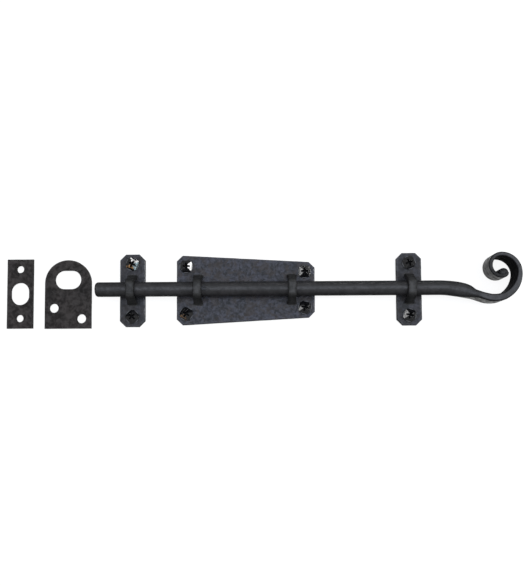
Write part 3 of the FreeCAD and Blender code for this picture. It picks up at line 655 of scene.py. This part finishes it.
UNIVERSAL_SLOT_RADIUS = 6.8
UNIVERSAL_SLOT_HALF_RUN = 2.6
UNIVERSAL_SLOT_DROP = 14.45
# screw holes: how far right of the middle and how far below the top of the arch
UNIVERSAL_SCREWS = ((-10.1, 35.05), (9.8, 42.75))
UNIVERSAL_SCREW_RADIUS = 3.3


def add_universal_strike():
    low, high = box_mm("universal_strike")
    centre_x = (low.x + high.x) / 2
    radius = (high.x - low.x) / 2
    arch_y = high.y - radius
    arch = arc_points(centre_x, arch_y, radius, 0, 180, 40)
    outline = resampled(arch + [(low.x, low.y), (high.x, low.y)], 1.3)
    holes = [oblong(centre_x, high.y - UNIVERSAL_SLOT_DROP, UNIVERSAL_SLOT_RADIUS,
                    UNIVERSAL_SLOT_HALF_RUN, 0)]
    holes += [circle(centre_x + shift, high.y - drop, UNIVERSAL_SCREW_RADIUS)
              for shift, drop in UNIVERSAL_SCREWS]
    outline = wavered(outline, 0.1, 6.0, 5.0)
    shell = plate_shell(outline, high.z, STRIKE_BEVEL, STRIKE_BEVEL_DROP, holes)
    make_piece("universal_strike_visual", shell, "plates", "plate_iron", strike_iron,
               "universal_strike")


# ---------------------------------------------------------------- sweeps

def sweep(shell, sections):
    """Skin over rings of the same count, closed with a cap at both ends. A section is an
    origin, the two vectors of its plane, its outline, its edge wear and highlight mask and perhaps
    its painted shade mask."""
    rings = []
    for origin, across, up, outline, *marks in sections:
        points = [origin + across * x + up * y for x, y in outline]
        rings.append(shell.ring(points, *marks))
    for lower, upper in zip(rings, rings[1:]):
        shell.wall(lower, upper)
    shell.cap(rings[0])
    shell.cap(rings[-1])


STRAP_THICK = 2.7
STRAP_TOP_HALF = 5.3
STRAP_FOOT_HALF = 11.7
STRAP_BEND = 2.35
STRAP_WIDTH = 6.1
STRAP_FOOT_WIDTH = 7.6
STRAP_FLARE_HEIGHT = 8.5


def strap_path(top, foot):
    """Centre line of half a strap from the foot to the middle of its top: points in (y, z)
    and the direction of travel, for the side at -y."""
    mid_top = top - STRAP_THICK / 2
    slope = math.atan2(top - foot, STRAP_FOOT_HALF - STRAP_TOP_HALF)
    shift = STRAP_THICK / 2 / math.sin(slope)
    lean = (top - foot) / math.tan(slope)
    corner_y = -STRAP_FOOT_HALF + shift + lean * (mid_top - foot) / (top - foot)
    setback = STRAP_BEND * math.tan(slope / 2)
    path = []
    foot_y = -STRAP_FOOT_HALF + shift
    leg_end = Vector((corner_y - setback * math.cos(slope), mid_top - setback * math.sin(slope)))
    leg_start = Vector((foot_y, foot))
    for step in range(9):
        path.append((leg_start.lerp(leg_end, step / 8), slope))
    centre = Vector((corner_y + setback, mid_top - STRAP_BEND))
    for step in range(1, 9):
        angle = slope * (1 - step / 8)
        arm = Vector((-math.sin(angle), math.cos(angle))) * STRAP_BEND
        path.append((centre + arm, angle))
    for step in range(1, 4):
        path.append((Vector(((corner_y + setback) * (1 - step / 3), mid_top)), 0))
    return path


def strap_width(height, foot):
    """Width along x: the strap's own, widening below the flare's height to its feet."""
    drop = (STRAP_FLARE_HEIGHT - height) / (STRAP_FLARE_HEIGHT - foot)
    return STRAP_WIDTH + (STRAP_FOOT_WIDTH - STRAP_WIDTH) * min(1, max(0, drop)) ** 1.5


def add_strap(node, foot, seed):
    """Bar bent over the rod, its feet seated on the plate over two riveted tenons."""
    low, high = box_mm(node)
    centre_x = (low.x + high.x) / 2
    half = strap_path(high.z, foot)
    slope = half[0][1]
    along_x, along_y = Vector((1, 0, 0)), Vector((0, 1, 0))
    tenon = rounded_section(2 * TENON_HALF_WIDTH, TENON_OUTER - TENON_INNER, 0.35, 4, 3)
    tenon_y = (TENON_OUTER + TENON_INNER) / 2
    sole = rounded_section(STRAP_FOOT_WIDTH - 0.5, STRAP_THICK / math.sin(slope) - 0.3, 0.9)
    foot_y = half[0][0].x
    ends = []
    for side, up in ((-1, along_y), (1, -along_y)):
        ends.append([(Vector((centre_x, side * tenon_y, low.z)), along_x, up, *tenon),
                     (Vector((centre_x, side * tenon_y, foot)), along_x, up, *tenon),
                     (Vector((centre_x, -side * foot_y, foot)), along_x, up, *sole)])
    path = half[1:] + [(Vector((-place.x, place.y)), -turn) for place, turn in half[-2:0:-1]]
    bend = []
    for number, (place, turn) in enumerate(path):
        wander = 0.985 + 0.015 * noise.noise(Vector((number * 0.21, seed, 0.5)))
        outline, _ = rounded_section(strap_width(place.y, foot) * wander, STRAP_THICK, 0.75)
        reach = max(x for x, _ in outline)
        # painted shade: the strap's sides are painted dark, standing in for the shade along both
        # sides of the strap
        painted_shade = [0.55 * min(1, max(0, (abs(x) - reach + 1.1) / 0.8)) for x, _ in outline]
        through = Vector((0, -math.sin(turn), math.cos(turn)))
        bend.append((Vector((centre_x, place.x, place.y)), along_x, through, outline, 0, painted_shade))
    shell = Shell()
    sweep(shell, ends[0] + bend + ends[1][::-1])
    make_piece(node + "_visual", shell, "plates", "strap_iron", strap_iron, node)


# ---------------------------------------------------------------- bolt with its scroll handle

# tangent arcs of the handle's centre line: radius and turn in degrees, a positive turn curls
# to the left. The line starts on the rod's axis.
NECK_BEND = 70.0
SCROLL_OUTER = 18.5
SCROLL_CENTRE = Vector((175.3, 10.0))
SCROLL_UPPER = 12.8
SCROLL_LEFT = 7.8
EYE_CENTRE = Vector((182.5, 9.5))
EYE_LINE = 2.1
EYE_RADIUS = 3.4

ROD_RADIUS = 5.25
TIP_ROUNDING = 2.2

# Forging along that line: share of the way to the eye, thickness across the line, height along
# z, corner radius, and how far the section's middle lies to the left of the line.
FORGING = (
    (0.00, 10.5, 10.5, 5.2, 0.0),
    (0.05, 10.5, 10.5, 5.2, 0.0),
    (0.11, 10.7, 10.5, 5.1, 0.1),
    (0.16, 10.2, 10.9, 4.7, 0.3),
    (0.19, 8.8, 12.6, 3.8, 0.2),
    (0.22, 5.9, 14.9, 2.5, -0.3),
    (0.255, 5.0, 16.4, 1.6, 0.0),
    (0.29, 5.1, 16.5, 1.3, 0.4),
    (0.35, 5.3, 16.5, 1.2, 0.25),
    (0.40, 5.3, 16.5, 1.2, 0.0),
    (0.50, 4.7, 16.5, 1.1, 0.0),
    (0.60, 3.6, 16.5, 1.1, 0.0),
    (0.80, 3.0, 16.5, 1.0, 0.0),
    (1.00, 2.6, 16.5, 0.9, 0.0),
)


def scroll_line(spacing):
    """Points of the handle's centre line with their heading and distance travelled."""
    dip = math.acos((NECK_BEND + SCROLL_CENTRE.y) / (NECK_BEND + SCROLL_OUTER))
    point = Vector((SCROLL_CENTRE.x - (NECK_BEND + SCROLL_OUTER) * math.sin(dip), 0))
    heading, travelled = 0.0, 0.0
    quarter = math.pi / 2
    turns = [(NECK_BEND, -dip), (SCROLL_OUTER, dip + quarter), (SCROLL_UPPER, quarter),
             (SCROLL_LEFT, quarter), None, (EYE_LINE, math.radians(80))]
    line = []
    for turn in turns:
        if turn is None:
            reach, drop = EYE_CENTRE - point
            last = (reach ** 2 + drop ** 2 - EYE_LINE ** 2) / (2 * (reach - EYE_LINE))
            turn = (last, math.pi + math.atan2(drop, reach - last))
            to_eye = travelled + last * turn[1]
        radius, angle = turn
        side = math.copysign(radius, angle)
        centre = point + Vector((-math.sin(heading), math.cos(heading))) * side
        steps = max(2, round(radius * abs(angle) / spacing), round(abs(angle) / math.radians(9)))
        for step in range(1 if line else 0, steps + 1):
            here = heading + angle * step / steps
            place = centre - Vector((-math.sin(here), math.cos(here))) * side
            line.append((place, here, travelled + radius * abs(angle) * step / steps))
        point, heading, travelled = line[-1]
    return line, to_eye


def forged_section(share):
    for low, high in zip(FORGING, FORGING[1:]):
        if share <= high[0]:
            blend = (share - low[0]) / (high[0] - low[0])
            return [a + (b - a) * blend for a, b in zip(low[1:], high[1:])]
    return list(FORGING[-1][1:])


def rod_sections(tip_x, end_x, height):
    """Round sections from the rounded tip to where the handle's bend starts."""
    stations = []
    for step in range(7):
        angle = math.pi / 2 * step / 6
        stations.append((tip_x + TIP_ROUNDING * (1 - math.cos(angle)),
                         ROD_RADIUS - TIP_ROUNDING * (1 - math.sin(angle))))
    start_x = stations[-1][0]
    count = round((end_x - start_x) / 3)
    stations += [(start_x + (end_x - start_x) * step / count, ROD_RADIUS)
                 for step in range(1, count)]
    sections = []
    for x, radius in stations:
        outline, _ = rounded_section(2 * radius, 2 * radius, radius * 0.99, 8, 7)
        place = Vector((x, 0, height))
        sections.append((place, Vector((0, 1, 0)), Vector((0, 0, 1)), outline, 0))
    return sections


def eye_shell(bottom, top):
    """Solid roll at the band's end, domed at both faces."""
    shell = Shell()
    rings = []
    dome = [(0.35, 0.0), (0.62, 0.10), (0.82, 0.42), (0.95, 0.95), (1.0, 1.7)]
    levels = [(share, bottom + drop) for share, drop in dome]
    levels += [(share, top - drop) for share, drop in dome[::-1]]
    for share, height in levels:
        outline = circle(EYE_CENTRE.x, EYE_CENTRE.y, EYE_RADIUS * share, 40)
        # painted shade: the eye is painted dark, darker towards its rim, as the shade inside the curl
        rings.append(shell.level(outline, height, painted_shade=0.3 + 0.5 * share))
    for lower, upper in zip(rings, rings[1:]):
        shell.wall(lower, upper)
    shell.cap(rings[0])
    shell.cap(rings[-1])
    return shell


def add_bolt():
    low, high = box_mm("sliding_bolt")
    axis = (low.z + high.z) / 2
    line, to_eye = scroll_line(1.1)
    up = Vector((0, 0, 1))
    forged = []
    for place, heading, travelled in line:
        thick, tall, corner, offset = forged_section(travelled / to_eye)
        side = Vector((-math.sin(heading), math.cos(heading), 0))
        outline, edge = rounded_section(thick, tall, corner, 8, 7)
        amount = min(1, max(0, (travelled / to_eye - 0.18) / 0.1))
        # painted shade: the band's rounded corners are painted darker from the neck on, where they
        # turn from the light
        rim = [0.6 * value * amount for value in edge]
        # painted shade: the inner side of the curl is painted dark, where little light reaches it
        depth = min(1, max(0, (travelled / to_eye - 0.34) / 0.12))
        # painted shade: the band's top and bottom faces are painted dark near the eye, deep in the
        # curl
        tail = 0.55 * min(1, max(0, (travelled / to_eye - 0.78) / 0.12))
        painted_shade = []
        for dark, (x, y) in zip(rim, outline):
            inside = depth * min(1, max(0, (x - thick / 2 + 0.8) / 0.5))
            painted_shade.append(max(dark, inside, tail if abs(y) > tall / 2 - 0.7 else 0))
        origin = Vector((place.x, place.y, axis)) + side * offset
        forged.append((origin, side, up, outline, 0, painted_shade))
    shell = Shell()
    sweep(shell, rod_sections(low.x, line[0][0].x, axis) + forged)
    make_piece("sliding_bolt_visual", shell, "bolt", "bolt_iron", bolt_iron, "sliding_bolt",
               sharp=50)
    half_height = FORGING[-1][2] / 2 - 0.4
    make_piece("scroll_eye_visual", eye_shell(axis - half_height, axis + half_height), "bolt",
               "bolt_iron", bolt_iron, "sliding_bolt", sharp=50)


# ---------------------------------------------------------------- screws

# faces of the cross recess lie within this reach of the axis and are steeper, in terms of the
# upward part of their normal, than the head's facets
RECESS_REACH = 3.9
RECESS_FLOOR = 3.6
RECESS_WALL_TURN = 0.75
SHANK_TOP = 0.4
SHANK_RADIUS = 2.05
POINT_LENGTH = 6.0
HEAD_EDGE = 0.12
THREAD_PITCH = 2.3
THREAD_DEPTH = 0.5
THREAD_ROOT_STEPS = 8


def add_thread(build, centre, top, bottom):
    """Threaded shank from top down to its point: rings whose radius follows a helix."""
    turns = 28
    step = THREAD_PITCH / THREAD_ROOT_STEPS
    rings = []
    for row in range(math.ceil((top - bottom) / step) + 1):
        height = max(top - row * step, bottom)
        taper = min(1, (height - bottom) / POINT_LENGTH + 0.03)
        ring = []
        for index in range(turns):
            angle = 2 * math.pi * index / turns
            phase = (row / THREAD_ROOT_STEPS + index / turns) % 1
            groove = THREAD_DEPTH * min(1, 1.6 * abs(2 * phase - 1))
            reach = max(0.05, (SHANK_RADIUS - groove) * taper)
            ring.append(build.verts.new((centre.x + reach * math.cos(angle),
                                         centre.y + reach * math.sin(angle), height)))
        rings.append(ring)
    for upper, lower in zip(rings, rings[1:]):
        for index in range(turns):
            after = (index + 1) % turns
            build.faces.new((upper[index], lower[index], lower[after], upper[after]))
    build.faces.new(rings[0])
    build.faces.new(rings[-1][::-1])


def add_screw(node):
    """The CAD head with softened edges, on a threaded shank."""
    low, high = box_mm(node)
    centre = (low + high) / 2
    build = bmesh.new()
    build.from_mesh(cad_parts[node].data)
    bmesh.ops.scale(build, vec=(1 / MM, 1 / MM, 1 / MM), verts=build.verts)
    bmesh.ops.remove_doubles(build, verts=build.verts, dist=0.002)
    bmesh.ops.dissolve_limit(build, angle_limit=math.radians(1), verts=build.verts,
                             edges=build.edges)
    shank = [vert for vert in build.verts if vert.co.z < -0.1]
    bmesh.ops.delete(build, geom=shank, context="VERTS")
    painted_shade = build.faces.layers.float.new("painted_shade")
    build.normal_update()
    for face in build.faces:
        middle = face.calc_center_median()
        # painted shade: the recess's steep walls and deep floor are painted black, as the shade in
        # the recess
        if (middle - centre).xy.length < RECESS_REACH and middle.z > plate_top:
            steep = abs(face.normal.z) < RECESS_WALL_TURN
            face[painted_shade] = 1 if steep or middle.z < RECESS_FLOOR + 0.2 else 0
    add_thread(build, centre, SHANK_TOP, low.z)
    bmesh.ops.recalc_face_normals(build, faces=build.faces)
    bmesh.ops.scale(build, vec=(MM, MM, MM), verts=build.verts)
    mesh = bpy.data.meshes.new(node + "_visual")
    build.to_mesh(mesh)
    build.free()
    mesh.attributes.new("wear_and_highlight", "FLOAT", "POINT")
    piece = finish_piece(node + "_visual", mesh, "plates", screw_black, [node], 30)
    bevel = piece.modifiers.new("soft_edges", "BEVEL")
    bevel.width = HEAD_EDGE * MM
    bevel.segments = 2
    bevel.limit_method = "ANGLE"
    bevel.angle_limit = math.radians(25)


# ---------------------------------------------------------------- assembly

screw_nodes = [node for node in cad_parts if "_screw_" in node]

add_guide("front_guide_plate", "front_guide_strap",
          [node for node in screw_nodes if node.startswith("front_guide")])
add_guide("rear_guide_plate", "rear_guide_strap",
          [node for node in screw_nodes if node.startswith("rear_guide")])
add_main_plate()
add_mortise_strike()
add_universal_strike()
plate_top = box_mm("main_plate")[1].z
for number, node in enumerate(("front_guide_strap", "main_strap_front", "main_strap_rear",
                               "rear_guide_strap")):
    add_strap(node, plate_top, number * 3.7)
add_bolt()
for node in screw_nodes:
    add_screw(node)
